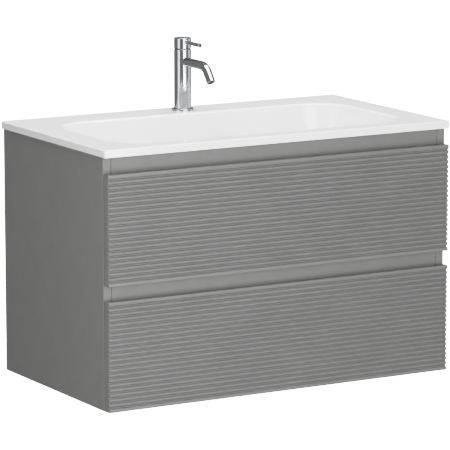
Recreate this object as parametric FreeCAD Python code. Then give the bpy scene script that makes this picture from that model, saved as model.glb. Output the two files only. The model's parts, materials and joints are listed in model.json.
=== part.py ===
import FreeCAD, Part
import math
import os

# Wall-hung bathroom vanity: a carcass with two ribbed drawers on telescopic runners,
# a ceramic washbasin on top, a single-lever mixer tap, and its waste and bottle trap.
# Millimetres. Origin: middle of the box that holds the object, at its lowest level.
# +X to the right as a person faces the drawers, +Y to the wall, +Z up.

# Driving dimensions: washbasin
BASIN_W = 800.0
BASIN_FRONT_Y = -225.0
WALL_Y = 230.0
BASIN_T = 16.0
BOWL_W = 672.0
BOWL_FRONT_Y = -179.0
BOWL_BACK_Y = 138.0
BOWL_CORNER_R = 80.0
BOWL_DEPTH = 110.0
BOWL_DRAFT = 22.0
BOWL_BOTTOM_R = 45.0
BOWL_WALL_T = 9.0
BOWL_LIP_R = 7.0
BASIN_CORNER_R = 3.0
BASIN_EDGE_R = 2.0

# Driving dimensions: carcass
CARCASS_W = 794.0
CARCASS_H = 505.0
CARCASS_BACK_Y = 224.0
BOARD_T = 18.0
BOTTOM_T = 16.0
EDGE_R = 1.0
TOP_RAIL_H = 65.0
MIDDLE_RAIL_Z = (200.0, 262.0)
BACK_RAIL_TOP_H = 100.0
BACK_RAIL_BOTTOM_H = 80.0
BUFFER_R = 5.0
BUFFER_CLEARANCE = 0.3
BUFFER_Z = (30.0, 185.0, 285.0, 440.0)

# Driving dimensions: drawer fronts, with horizontal ribs
FRONT_W = 791.0
FRONT_H = 220.5
FRONT_T = 18.0
FRONT_FACE_Y = -230.0
LOWER_FRONT_Z = 0.0
UPPER_FRONT_Z = 251.5
BUFFER_GAP = 1.5
RIB_PITCH = 10.05
RIB_COUNT = 21
RIB_DEPTH = 4.5
RIB_SLOPE = math.radians(55.0)
RIB_START = 4.0
FRONT_EDGE_R = 1.2
GRIP_W = 751.0
GRIP_T = 10.0
GRIP_H = 20.0
GRIP_R = 4.0

# Driving dimensions: drawer boxes and runners
RUNNER_GAP = 13.0
RUNNER_L = 400.0
RUNNER_SHEET = 1.2
RUNNER_SETBACK = 3.0
RUNNER_CORNER_R = 0.9
CABINET_MEMBER = (11.0, 22.5)
MIDDLE_MEMBER = (5.2, 19.0)
MIDDLE_MEMBER_GAP = 4.3
DRAWER_MEMBER = (6.4, 15.0)
RUNNER_SCREW_Y = (-170.0, 0.0, 160.0)
RUNNER_SCREW_R = 3.5
BRACKET_Z = {"upper": 335.0, "lower": 105.0}
BRACKET_T = 2.0
BRACKET_H = 44.0
BRACKET_ARM = 32.0
BRACKET_FOOT = 30.0
BRACKET_SCREW_R = 3.6
BRACKET_SCREW_RISE = 12.0
SCREW_HEAD_H = 1.6
SIDE_T = 16.0
BOX_BACK_Y = 190.0
BOX_BOTTOM_T = 10.0
BOX_BOTTOM_LIFT = 6.0
LOWER_BOX_Z = (25.0, 190.0)
UPPER_BOX_Z = (275.0, 385.0)
LOWER_RUNNER_Z = 90.0
UPPER_RUNNER_Z = 330.0
CUTOUT_W = 170.0
CUTOUT_FRONT_Y = -80.0
CUTOUT_R = 40.0
CUTOUT_WALL_T = 8.0

# Driving dimensions: mixer tap
TAP_Y = 182.0
TAP_R = 18.0
TAP_BASE_R = 22.5
TAP_BASE_H = 5.0
TAP_JOINT_H = 129.5
TAP_JOINT_GAP = 1.6
TAP_H = 153.0
PIVOT_BELOW_JOINT = 18.5
SPOUT_R = 9.25
SPOUT_ROOT_H = 103.5
SPOUT_DROP = math.radians(52.0)
SPOUT_TIP = (121.0, 72.2)
SPOUT_BEND_R = 33.0
AERATOR_R = 7.2
LEVER_R = 4.0
LEVER_H = 144.0
LEVER_REACH = 75.5
LEVER_KNOB_L = 6.5
STEM_R = 3.0
STEM_SLOT_GAP = 0.4
ROTOR_R = 12.0
ROTOR_LOW_H = 98.0
CARTRIDGE_R = 15.0
CARTRIDGE_LOW_H = 85.0
STUD_R = 4.0
STUD_AHEAD = 9.5
STUD_L = 77.0
STUD_IN_BODY = 15.0
CLAMP_R = 20.5
CLAMP_T = 3.0
CLAMP_SLOT_W = 30.0
TAP_NUT_ACROSS = 13.0
TAP_NUT_H = 6.5
INLET_R = 4.5
INLET_DEPTH = 12.0
INLET_X = 7.0
INLET_BEHIND = 2.0

# Driving dimensions: waste and bottle trap
DRAIN_HOLE_R = 23.0
WASTE_R = 21.0
WASTE_BORE_R = 17.0
WASTE_LOW_Z = 345.0
WASTE_FLANGE_R = 32.0
WASTE_FLANGE_T = 2.4
WASTE_SEAL_R = 30.0
WASTE_SEAL_T = 1.5
WASTE_NUT_ACROSS = 58.0
WASTE_NUT_H = 14.0
LOWER_SEAL_T = 3.0
GUIDE_R = 8.0
GUIDE_Z = (383.0, 393.0)
PLUG_R = 30.5
PLUG_T = 6.0
PLUG_LIFT = 0.4
PLUG_STEM_R = 4.0
PLUG_STEM_LOW_Z = 376.0
RUNNING_GAP = 0.06
PIPE_R = 16.0
PIPE_BORE_R = 14.5
INLET_PIPE_Z = (268.0, 362.0)
CUP_R = 33.0
CUP_WALL = 2.5
CUP_Z = (252.0, 325.0)
CUP_TOP_R = 8.0
SOCKET_R = 19.0
SOCKET_REACH = 57.0
CAP_LOW_Z = 240.0
CAP_H = 22.0
CAP_R = 36.0
CAP_RIB_COUNT = 16
TOP_NUT_R = 27.0
TOP_NUT_Z = (335.0, 357.0)
SIDE_NUT_R = 25.0
SIDE_NUT_H = 20.0
SIDE_NUT_LAP = 14.0
OUTLET_Z = 305.0
STOP_BEAD_R = 18.0
STOP_BEAD_Y = (189.0, 192.0)
PIPE_IN_SOCKET = 20.0

# Driving dimensions: wall hangers
HANGER_X = 360.0
HOUSING_W = 34.0
HOUSING_FRONT_Y = 158.0
HOUSING_Z = (425.0, 500.0)
HOUSING_EDGE_R = 3.0
HOUSING_SLOT_W = 21.0
HOUSING_SLOT_Z = (488.0, 493.0)
ADJUSTER_Z = (447.0, 470.0)
ADJUSTER_R = 4.0
ADJUSTER_RECESS_R = 5.5
ADJUSTER_RECESS = 7.0
HOOK_W = 20.0
HOOK_Y = (175.0, 229.6)
HOOK_Z = (489.2, 491.8)
HOOK_TIP_T = 2.2
HOOK_TIP_Z = 477.0
RAIL_SLOT_W = 26.0
RAIL_SLOT_Z = (484.0, 497.0)
PLATE_W = 34.0
PLATE_T = 2.5
PLATE_Z = (425.0, 473.0)
LIP_Y = (224.6, 226.9)
LIP_TOP_Z = 487.0
PLATE_HOLE_R = 3.25
PLATE_HOLE_Z = (437.0, 463.0)

# Worked-out levels
DECK_Z = CARCASS_H + BASIN_T
CARCASS_FRONT_Y = FRONT_FACE_Y + FRONT_T + BUFFER_GAP
FRONT_BACK_Y = FRONT_FACE_Y + FRONT_T
INNER_X = CARCASS_W / 2 - BOARD_T
BOX_X = INNER_X - RUNNER_GAP
BOX_INNER_X = BOX_X - SIDE_T
BOWL_MID_Y = (BOWL_FRONT_Y + BOWL_BACK_Y) / 2
BOWL_HALF_X = BOWL_W / 2
BOWL_HALF_Y = (BOWL_BACK_Y - BOWL_FRONT_Y) / 2
FLOOR_Z = DECK_Z - BOWL_DEPTH
PIVOT_Z = DECK_Z + TAP_JOINT_H - PIVOT_BELOW_JOINT
STUD_Y = TAP_Y - STUD_AHEAD
WASTE_NUT_TOP_Z = FLOOR_Z - BOWL_WALL_T - LOWER_SEAL_T
SOCKET_END_Y = BOWL_MID_Y + SOCKET_REACH

X_AXIS = FreeCAD.Vector(1, 0, 0)
Y_AXIS = FreeCAD.Vector(0, 1, 0)
Z_AXIS = FreeCAD.Vector(0, 0, 1)


def vec(x, y, z):
    return FreeCAD.Vector(x, y, z)


def block(low, high):
    """A box between two opposite corners."""
    size = [b - a for a, b in zip(low, high)]
    return Part.makeBox(size[0], size[1], size[2], vec(*low))


def rod(radius, start, axis, length):
    """A solid cylinder from its start point along an axis."""
    return Part.makeCylinder(radius, length, vec(*start), axis)


def ring(outer, inner, start, axis, length):
    """A cylinder with a through bore."""
    return rod(outer, start, axis, length).cut(rod(inner, start, axis, length))


def hexagon(across_flats, start, axis, length):
    """A hexagonal prism whose base is centred on the start point."""
    polygon = Part.makePolygon([
        vec(
            across_flats / math.sqrt(3) * math.cos(math.radians(60 * i)),
            across_flats / math.sqrt(3) * math.sin(math.radians(60 * i)),
            0,
        )
        for i in range(7)
    ])
    prism = Part.Face(polygon).extrude(vec(0, 0, length))
    prism.Placement = FreeCAD.Placement(vec(*start), FreeCAD.Rotation(Z_AXIS, axis))
    return prism


def mirrored(shape):
    """The same piece on the other side of the middle plane."""
    return shape.mirror(vec(0, 0, 0), X_AXIS)


def edges_along(shape, axis, test=None):
    """Straight edges parallel to an axis, and passing a test of their middle point."""
    found = []
    for edge in shape.Edges:
        if edge.Curve.TypeId != "Part::GeomLine":
            continue
        direction = edge.Vertexes[1].Point.sub(edge.Vertexes[0].Point)
        direction.normalize()
        if abs(abs(direction.dot(axis)) - 1) > 1e-6:
            continue
        if test is None or test(edge.CenterOfMass):
            found.append(edge)
    return found


def softened_board(low, high, axis, test=None):
    """A board whose long edges along one axis are slightly rounded."""
    board = block(low, high)
    return board.makeFillet(EDGE_R, edges_along(board, axis, test))


def rounded_rectangle(half_x, half_y, radius, middle_y, z):
    """A closed wire: a rectangle with round corners, level with the ground."""
    edges = []
    corners = [(1, 1), (-1, 1), (-1, -1), (1, -1)]
    for index, (sx, sy) in enumerate(corners):
        centre = vec(sx * (half_x - radius), middle_y + sy * (half_y - radius), z)
        start = 90.0 * index
        points = [
            centre.add(vec(
                radius * math.cos(math.radians(start + turn)),
                radius * math.sin(math.radians(start + turn)),
                0,
            ))
            for turn in (0, 45, 90)
        ]
        if edges:
            edges.append(Part.LineSegment(edges[-1].Vertexes[-1].Point, points[0]).toShape())
        edges.append(Part.Arc(*points).toShape())
    edges.append(Part.LineSegment(edges[-1].Vertexes[-1].Point, edges[0].Vertexes[0].Point).toShape())
    return Part.Wire(edges)


def bowl_form(extra, top_z):
    """The bowl as a solid: inside when extra is 0, and outside when it is the wall thickness."""
    draft_per_mm = BOWL_DRAFT / BOWL_DEPTH
    bottom_z = FLOOR_Z - extra
    top_out = extra + draft_per_mm * (top_z - DECK_Z)
    bottom_out = extra - BOWL_DRAFT
    top = rounded_rectangle(
        BOWL_HALF_X + top_out, BOWL_HALF_Y + top_out, BOWL_CORNER_R + top_out, BOWL_MID_Y, top_z)
    bottom = rounded_rectangle(
        BOWL_HALF_X + bottom_out, BOWL_HALF_Y + bottom_out, BOWL_CORNER_R + bottom_out,
        BOWL_MID_Y, bottom_z)
    form = Part.makeLoft([bottom, top], True, True)
    low_edges = [e for e in form.Edges if abs(e.BoundBox.ZMax - bottom_z) < 0.01]
    return form.makeFillet(BOWL_BOTTOM_R + extra, low_edges)


def washbasin():
    slab = block((-BASIN_W / 2, BASIN_FRONT_Y, CARCASS_H), (BASIN_W / 2, WALL_Y, DECK_Z))
    slab = slab.makeFillet(BASIN_CORNER_R, edges_along(slab, Z_AXIS, lambda p: p.y < 0))
    outer = slab.fuse(bowl_form(BOWL_WALL_T, CARCASS_H + 1.0))
    basin = outer.cut(bowl_form(0.0, DECK_Z))
    rim = [
        e for e in basin.Edges
        if e.BoundBox.ZMin > DECK_Z - 0.01
        and abs(e.CenterOfMass.x) < BOWL_HALF_X + 1
        and BOWL_FRONT_Y - 1 < e.CenterOfMass.y < BOWL_BACK_Y + 1
    ]
    basin = basin.makeFillet(BOWL_LIP_R, rim)
    border = [
        e for e in basin.Edges
        if e.BoundBox.ZMin > DECK_Z - 0.01
        and (abs(e.CenterOfMass.x) > BASIN_W / 2 - 4 or e.CenterOfMass.y < BASIN_FRONT_Y + 4)
    ]
    basin = basin.makeFillet(BASIN_EDGE_R, border)
    basin = basin.cut(rod(DRAIN_HOLE_R, (0, BOWL_MID_Y, FLOOR_Z - 20), Z_AXIS, 40))
    return basin.cut(rod(TAP_R, (0, TAP_Y, CARCASS_H - 5), Z_AXIS, 40))


def side_panel_right():
    return softened_board(
        (INNER_X, CARCASS_FRONT_Y, 0), (CARCASS_W / 2, CARCASS_BACK_Y, CARCASS_H),
        Z_AXIS, lambda p: p.y < 0)


def bottom_panel():
    return block((-INNER_X, CARCASS_FRONT_Y, 0), (INNER_X, CARCASS_BACK_Y, BOTTOM_T))


def front_rail(z_low, z_high):
    return softened_board(
        (-INNER_X, CARCASS_FRONT_Y, z_low), (INNER_X, CARCASS_FRONT_Y + BOARD_T, z_high),
        Z_AXIS, lambda p: p.y < CARCASS_FRONT_Y + 1)


def back_rail(z_low, z_high):
    return block((-INNER_X, CARCASS_BACK_Y - BOARD_T, z_low), (INNER_X, CARCASS_BACK_Y, z_high))


def back_rail_top():
    rail = back_rail(CARCASS_H - BACK_RAIL_TOP_H, CARCASS_H)
    for x in (-HANGER_X, HANGER_X):
        rail = rail.cut(block(
            (x - RAIL_SLOT_W / 2, CARCASS_BACK_Y - BOARD_T - 1, RAIL_SLOT_Z[0]),
            (x + RAIL_SLOT_W / 2, CARCASS_BACK_Y + 1, RAIL_SLOT_Z[1])))
    return rail


def front_buffers():
    """Thin soft discs on the carcass edges that the drawer fronts close against."""
    discs = []
    for x in (-INNER_X - BOARD_T / 2, INNER_X + BOARD_T / 2):
        for z in BUFFER_Z:
            start = (x, FRONT_BACK_Y + BUFFER_CLEARANCE, z)
            discs.append(rod(BUFFER_R, start, Y_AXIS, BUFFER_GAP - BUFFER_CLEARANCE))
    return Part.makeCompound(discs)


def hanger_housing(x):
    """A moulded housing on the back rail: a slot for the hook and two recessed adjusters."""
    back_y = CARCASS_BACK_Y - BOARD_T
    housing = block(
        (x - HOUSING_W / 2, HOUSING_FRONT_Y, HOUSING_Z[0]), (x + HOUSING_W / 2, back_y, HOUSING_Z[1]))
    front_edges = edges_along(housing, Z_AXIS, lambda p: p.y < HOUSING_FRONT_Y + 1)
    housing = housing.makeFillet(HOUSING_EDGE_R, front_edges)
    housing = housing.cut(block(
        (x - HOUSING_SLOT_W / 2, HOOK_Y[0] - 5, HOUSING_SLOT_Z[0]),
        (x + HOUSING_SLOT_W / 2, back_y, HOUSING_SLOT_Z[1])))
    for z in ADJUSTER_Z:
        start = (x, HOUSING_FRONT_Y, z)
        housing = housing.cut(rod(ADJUSTER_RECESS_R, start, Y_AXIS, ADJUSTER_RECESS))
        head = (x, HOUSING_FRONT_Y + 2, z)
        housing = housing.fuse(rod(ADJUSTER_R, head, Y_AXIS, ADJUSTER_RECESS - 1))
    return housing


def hanger_hook(x):
    """A flat steel hook: through the back rail and down behind the wall plate's lip."""
    half = HOOK_W / 2
    arm = block((x - half, HOOK_Y[0], HOOK_Z[0]), (x + half, HOOK_Y[1], HOOK_Z[1]))
    tip = block((x - half, HOOK_Y[1] - HOOK_TIP_T, HOOK_TIP_Z), (x + half, HOOK_Y[1], HOOK_Z[0]))
    return arm.fuse(tip).removeSplitter()


def wall_plate(x):
    """A steel plate flat on the wall, with two screw holes and a lip that stands off it."""
    left = x - PLATE_W / 2
    right = x + PLATE_W / 2
    face_y = WALL_Y - PLATE_T
    plate = block((left, face_y, PLATE_Z[0]), (right, WALL_Y, PLATE_Z[1]))
    step = block((left, LIP_Y[0], PLATE_Z[1] - PLATE_T), (right, face_y, PLATE_Z[1]))
    lip = block((left, LIP_Y[0], PLATE_Z[1]), (right, LIP_Y[1], LIP_TOP_Z))
    plate = plate.fuse([step, lip]).removeSplitter()
    for z in PLATE_HOLE_Z:
        plate = plate.cut(rod(PLATE_HOLE_R, (x, WALL_Y - 4, z), Y_AXIS, 8))
    return plate


def drawer_front(z_low):
    """A thick board whose face is worked into even horizontal ribs, with a finger grip
    cut into the back of its top edge."""
    face = FRONT_FACE_Y
    crest_r = (RIB_PITCH / 4 * math.sin(RIB_SLOPE) - RIB_DEPTH / 2 * math.cos(RIB_SLOPE)) \
        / (1 - math.cos(RIB_SLOPE))

    def on_arc(centre_y, centre_z, side, turn):
        return vec(0, centre_y - side * crest_r * math.cos(turn), centre_z + crest_r * math.sin(turn))

    r = FRONT_EDGE_R
    half = math.sqrt(0.5)
    top = z_low + FRONT_H
    edges = []

    def line_to(point):
        edges.append(Part.LineSegment(edges[-1].Vertexes[-1].Point, point).toShape())

    edges.append(Part.LineSegment(vec(0, FRONT_BACK_Y, z_low), vec(0, face + r, z_low)).toShape())
    edges.append(Part.Arc(
        vec(0, face + r, z_low), vec(0, face + r * (1 - half), z_low + r * (1 - half)),
        vec(0, face, z_low + r)).toShape())
    line_to(vec(0, face, z_low + RIB_START))
    for index in range(RIB_COUNT):
        start = z_low + RIB_START + index * RIB_PITCH
        crest_y = face + crest_r
        valley_y = face + RIB_DEPTH - crest_r
        middle = start + RIB_PITCH / 2
        end = start + RIB_PITCH
        edges.append(Part.Arc(
            on_arc(crest_y, start, 1, 0), on_arc(crest_y, start, 1, RIB_SLOPE / 2),
            on_arc(crest_y, start, 1, RIB_SLOPE)).toShape())
        line_to(on_arc(valley_y, middle, -1, -RIB_SLOPE))
        edges.append(Part.Arc(
            on_arc(valley_y, middle, -1, -RIB_SLOPE), on_arc(valley_y, middle, -1, 0),
            on_arc(valley_y, middle, -1, RIB_SLOPE)).toShape())
        line_to(on_arc(crest_y, end, 1, -RIB_SLOPE))
        edges.append(Part.Arc(
            on_arc(crest_y, end, 1, -RIB_SLOPE), on_arc(crest_y, end, 1, -RIB_SLOPE / 2),
            on_arc(crest_y, end, 1, 0)).toShape())
    line_to(vec(0, face, top - r))
    edges.append(Part.Arc(
        vec(0, face, top - r), vec(0, face + r * (1 - half), top - r * (1 - half)),
        vec(0, face + r, top)).toShape())
    line_to(vec(0, FRONT_BACK_Y, top))
    line_to(vec(0, FRONT_BACK_Y, z_low))
    section = Part.Face(Part.Wire(edges))
    section.translate(vec(-FRONT_W / 2, 0, 0))
    board = section.extrude(vec(FRONT_W, 0, 0))
    grip = block(
        (-GRIP_W / 2, FRONT_BACK_Y - GRIP_T, top - GRIP_H), (GRIP_W / 2, FRONT_BACK_Y + 1, top + 1))
    grip = grip.makeFillet(GRIP_R, edges_along(grip, X_AXIS, lambda p: p.z < top and p.y < FRONT_BACK_Y))
    return board.cut(grip)


def drawer_side_right(z_range):
    low, high = z_range
    return softened_board(
        (BOX_INNER_X, FRONT_BACK_Y, low), (BOX_X, BOX_BACK_Y, high), Y_AXIS, lambda p: p.z > high - 1)


def drawer_bottom(z_low):
    z = z_low + BOX_BOTTOM_LIFT
    return block((-BOX_INNER_X, FRONT_BACK_Y, z), (BOX_INNER_X, BOX_BACK_Y, z + BOX_BOTTOM_T))


def cutout_column(extra, z_low, z_high):
    """The upright U-shaped space that the trap needs, open at the back."""
    half = CUTOUT_W / 2 + extra
    column = block((-half, CUTOUT_FRONT_Y - extra, z_low), (half, BOX_BACK_Y + 1, z_high))
    return column.makeFillet(CUTOUT_R + extra, edges_along(column, Z_AXIS, lambda p: p.y < 0))


def upper_drawer_bottom():
    return drawer_bottom(UPPER_BOX_Z[0]).cut(cutout_column(0.0, *UPPER_BOX_Z))


def upper_drawer_cutout_wall():
    floor = UPPER_BOX_Z[0] + BOX_BOTTOM_LIFT + BOX_BOTTOM_T
    wall = cutout_column(CUTOUT_WALL_T, floor, UPPER_BOX_Z[1])
    wall = wall.cut(cutout_column(0.0, floor - 1, UPPER_BOX_Z[1] + 1))
    return wall.common(block((-CUTOUT_W, FRONT_BACK_Y, floor), (CUTOUT_W, BOX_BACK_Y, UPPER_BOX_Z[1])))


def drawer_back(z_range, x_low, x_high):
    floor = z_range[0] + BOX_BOTTOM_LIFT + BOX_BOTTOM_T
    return softened_board(
        (x_low, BOX_BACK_Y - SIDE_T, floor), (x_high, BOX_BACK_Y, z_range[1]),
        X_AXIS, lambda p: p.z > floor + 1)


def upper_drawer_backs():
    inner = CUTOUT_W / 2 + CUTOUT_WALL_T
    right = drawer_back(UPPER_BOX_Z, inner, BOX_INNER_X)
    return Part.makeCompound([right, mirrored(right)])


def corner_brackets(z_middle):
    """Angle brackets that hold a drawer front to the sides, with their screw heads."""
    low = z_middle - BRACKET_H / 2
    high = z_middle + BRACKET_H / 2
    inner = BOX_INNER_X
    arm = block((inner - BRACKET_T, FRONT_BACK_Y, low), (inner, FRONT_BACK_Y + BRACKET_ARM, high))
    foot = block(
        (inner - BRACKET_FOOT, FRONT_BACK_Y, low),
        (inner - BRACKET_T, FRONT_BACK_Y + BRACKET_T, high))
    bracket = arm.fuse(foot).removeSplitter()
    for z in (z_middle - BRACKET_SCREW_RISE, z_middle + BRACKET_SCREW_RISE):
        foot_head = (inner - 18, FRONT_BACK_Y + BRACKET_T, z)
        arm_head = (inner - BRACKET_T - SCREW_HEAD_H, FRONT_BACK_Y + 20, z)
        bracket = bracket.fuse(rod(BRACKET_SCREW_R, foot_head, Y_AXIS, SCREW_HEAD_H))
        bracket = bracket.fuse(rod(BRACKET_SCREW_R, arm_head, X_AXIS, SCREW_HEAD_H))
    return Part.makeCompound([bracket, mirrored(bracket)])


def channel(web_x, side, size, z_middle):
    """A rolled steel channel along Y: a flat web, and flanges of one width towards a side."""
    flange, half_height = size
    y_low = CARCASS_FRONT_Y + RUNNER_SETBACK
    y_high = y_low + RUNNER_L
    web_low, web_high = sorted((web_x, web_x + side * RUNNER_SHEET))
    low, high = sorted((web_x, web_x + side * flange))
    profile = block((web_low, y_low, z_middle - half_height), (web_high, y_high, z_middle + half_height))
    for z in (z_middle - half_height, z_middle + half_height - RUNNER_SHEET):
        profile = profile.fuse(block((low, y_low, z), (high, y_high, z + RUNNER_SHEET)))
    profile = profile.removeSplitter()
    corners = edges_along(profile, Y_AXIS, lambda p: abs(p.x - web_x) < 0.01)
    return profile.makeFillet(RUNNER_CORNER_R, corners)


def runner_cabinet_member(z_middle):
    return channel(INNER_X, -1, CABINET_MEMBER, z_middle)


def runner_middle_member(z_middle):
    return channel(INNER_X - MIDDLE_MEMBER_GAP, -1, MIDDLE_MEMBER, z_middle)


def runner_drawer_member(z_middle):
    return channel(BOX_X, 1, DRAWER_MEMBER, z_middle)


def runner_screws():
    """Flat screw heads that hold the cabinet members to the side panels."""
    heads = []
    for z in (LOWER_RUNNER_Z, UPPER_RUNNER_Z):
        for y in RUNNER_SCREW_Y:
            start = (INNER_X - RUNNER_SHEET - SCREW_HEAD_H, y, z)
            head = rod(RUNNER_SCREW_R, start, X_AXIS, SCREW_HEAD_H)
            heads.append(head)
            heads.append(mirrored(head))
    return Part.makeCompound(heads)


def tap_base_ring():
    base = ring(TAP_BASE_R, TAP_R, (0, TAP_Y, DECK_Z), Z_AXIS, TAP_BASE_H)
    outer_top = [
        e for e in base.Edges
        if e.BoundBox.ZMin > DECK_Z + TAP_BASE_H - 0.01 and e.BoundBox.XMax > TAP_R + 1
    ]
    return base.makeFillet(1.5, outer_top)


def joint_ball(radius):
    return Part.makeSphere(radius, vec(0, TAP_Y, PIVOT_Z))


def joint_radius(height):
    """Distance from the pivot to the body's outer edge at a height above the deck."""
    rise = DECK_Z + height - PIVOT_Z
    return math.hypot(TAP_R, rise)


BODY_BALL_R = joint_radius(TAP_JOINT_H - TAP_JOINT_GAP / 2)
CAP_BALL_R = joint_radius(TAP_JOINT_H + TAP_JOINT_GAP / 2)
CARTRIDGE_BORE_R = ROTOR_R + 0.5


def tap_column(radius, low_h, ball_r):
    """A cylinder on the tap's axis whose top is domed about the handle's pivot."""
    column = rod(radius, (0, TAP_Y, DECK_Z + low_h), Z_AXIS, PIVOT_Z + ball_r + 1 - DECK_Z - low_h)
    keep = block((-40, TAP_Y - 40, DECK_Z - 1), (40, TAP_Y + 40, PIVOT_Z))
    return column.common(keep.fuse(joint_ball(ball_r)))


def spout_path():
    """The spout's centre line: a level run, a bend and a falling run."""
    tip_reach, tip_h = SPOUT_TIP
    corner = tip_reach - (SPOUT_ROOT_H - tip_h) / math.tan(SPOUT_DROP)
    bend_start = corner - SPOUT_BEND_R * math.tan(SPOUT_DROP / 2)

    def point(reach, height):
        return vec(0, TAP_Y - reach, DECK_Z + height)

    def on_bend(turn):
        return point(
            bend_start + SPOUT_BEND_R * math.sin(turn),
            SPOUT_ROOT_H - SPOUT_BEND_R * (1 - math.cos(turn)))

    root = point(CARTRIDGE_R + 0.5, SPOUT_ROOT_H)
    first = Part.LineSegment(root, on_bend(0.0)).toShape()
    bend = Part.Arc(on_bend(0.0), on_bend(SPOUT_DROP / 2), on_bend(SPOUT_DROP)).toShape()
    last = Part.LineSegment(on_bend(SPOUT_DROP), point(tip_reach, tip_h)).toShape()
    return Part.Wire([first, bend, last])


def swept(radius, path):
    start = path.Edges[0]
    direction = start.tangentAt(start.FirstParameter)
    circle = Part.Wire(Part.makeCircle(radius, start.valueAt(start.FirstParameter), direction))
    return path.makePipeShell([circle], True, True)


def tap_spout():
    pipe = swept(SPOUT_R, spout_path()).cut(rod(TAP_R, (0, TAP_Y, DECK_Z), Z_AXIS, 200))
    tip = vec(0, TAP_Y - SPOUT_TIP[0], DECK_Z + SPOUT_TIP[1])
    inward = vec(0, math.cos(SPOUT_DROP), math.sin(SPOUT_DROP))
    return pipe.cut(Part.makeCylinder(AERATOR_R, 9.0, tip, inward))


def tap_aerator():
    """The outlet insert: a threaded cup with a mesh face just inside the spout's mouth."""
    tip = vec(0, TAP_Y - SPOUT_TIP[0], DECK_Z + SPOUT_TIP[1])
    inward = vec(0, math.cos(SPOUT_DROP), math.sin(SPOUT_DROP))
    insert = Part.makeCylinder(AERATOR_R, 8.4, tip.add(inward * 0.6), inward)
    return insert.cut(Part.makeCylinder(AERATOR_R - 1.2, 1.2, tip.add(inward * 0.6), inward))


def tap_body():
    body = tap_column(TAP_R, 0.0, BODY_BALL_R)
    body = body.cut(rod(CARTRIDGE_R, (0, TAP_Y, DECK_Z + CARTRIDGE_LOW_H), Z_AXIS, 80))
    for x in (-INLET_X, INLET_X):
        body = body.cut(rod(INLET_R, (x, TAP_Y + INLET_BEHIND, DECK_Z - 1), Z_AXIS, INLET_DEPTH + 1))
    return body.cut(rod(STUD_R, (0, STUD_Y, DECK_Z), Z_AXIS, STUD_IN_BODY))


def tap_cartridge():
    shell = tap_column(CARTRIDGE_R, CARTRIDGE_LOW_H, BODY_BALL_R - 0.3)
    return shell.cut(rod(CARTRIDGE_BORE_R, (0, TAP_Y, DECK_Z + ROTOR_LOW_H - 0.4), Z_AXIS, 80))


def tap_rotor():
    """The part of the cartridge that turns with the handle; the stem tilts in its slot."""
    rotor = tap_column(ROTOR_R, ROTOR_LOW_H, BODY_BALL_R - 0.5)
    half = STEM_R + STEM_SLOT_GAP
    slot = block((-half, TAP_Y - 5.2, PIVOT_Z - 5.5), (half, TAP_Y + TAP_R, PIVOT_Z + TAP_R * 2))
    return rotor.cut(slot)


def tap_stem():
    return rod(STEM_R, (0, TAP_Y, PIVOT_Z - 4), Z_AXIS, CAP_BALL_R + 8)


def tap_handle_cap():
    cap = rod(TAP_R, (0, TAP_Y, PIVOT_Z), Z_AXIS, DECK_Z + TAP_H - PIVOT_Z)
    top = [e for e in cap.Edges if e.BoundBox.ZMin > DECK_Z + TAP_H - 0.01 and len(e.Vertexes) == 1]
    cap = cap.makeFillet(1.5, top)
    cap = cap.cut(joint_ball(CAP_BALL_R))
    return cap.cut(tap_stem())


def tap_lever():
    """A thin round bar that points forward from the cap, with a collar and a small end piece."""
    forward = vec(0, -1, 0)
    start = vec(0, TAP_Y - TAP_R + 1.5, DECK_Z + LEVER_H)
    length = LEVER_REACH - TAP_R + 1.5
    knob_start = length - LEVER_KNOB_L
    bar = Part.makeCylinder(LEVER_R, knob_start - 0.5, start, forward)
    collar = Part.makeCylinder(LEVER_R + 1.0, 4.0, start, forward)
    neck = Part.makeCylinder(LEVER_R - 0.5, 0.8, start.add(forward * (knob_start - 0.6)), forward)
    knob = Part.makeCylinder(LEVER_R + 0.25, LEVER_KNOB_L, start.add(forward * knob_start), forward)
    knob = knob.makeFillet(0.8, [knob.Edges[0], knob.Edges[2]])
    lever = bar.fuse([collar, neck, knob])
    return lever.cut(rod(TAP_R, (0, TAP_Y, DECK_Z + 100), Z_AXIS, 80))


def tap_fixing_stud():
    return rod(STUD_R, (0, STUD_Y, DECK_Z + STUD_IN_BODY - STUD_L), Z_AXIS, STUD_L)


def tap_clamp_washer():
    """A horseshoe plate under the basin, open at the back for the two supply inlets."""
    low = CARCASS_H - CLAMP_T
    plate = rod(CLAMP_R, (0, TAP_Y, low), Z_AXIS, CLAMP_T)
    half = CLAMP_SLOT_W / 2
    plate = plate.cut(block((-half, TAP_Y - 3, low - 1), (half, TAP_Y + CLAMP_R + 1, CARCASS_H + 1)))
    return plate.cut(rod(STUD_R + 0.3, (0, STUD_Y, low - 1), Z_AXIS, CLAMP_T + 2))


def tap_fixing_nut():
    low = CARCASS_H - CLAMP_T - TAP_NUT_H
    nut = hexagon(TAP_NUT_ACROSS, (0, STUD_Y, low), Z_AXIS, TAP_NUT_H)
    return nut.cut(rod(STUD_R, (0, STUD_Y, low - 1), Z_AXIS, TAP_NUT_H + 2))


def outer_circle_at(shape, z):
    """The largest full circle of a shape at one level, as a list of one edge."""
    found = [
        e for e in shape.Edges
        if abs(e.BoundBox.ZMin - z) < 0.01 and abs(e.BoundBox.ZMax - z) < 0.01 and len(e.Vertexes) == 1
    ]
    return sorted(found, key=lambda e: -e.Length)[:1]


def waste_flange():
    low = FLOOR_Z + WASTE_SEAL_T
    flange = ring(WASTE_FLANGE_R, WASTE_BORE_R, (0, BOWL_MID_Y, low), Z_AXIS, WASTE_FLANGE_T)
    return flange.makeFillet(WASTE_FLANGE_T / 2, outer_circle_at(flange, low + WASTE_FLANGE_T))


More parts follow.
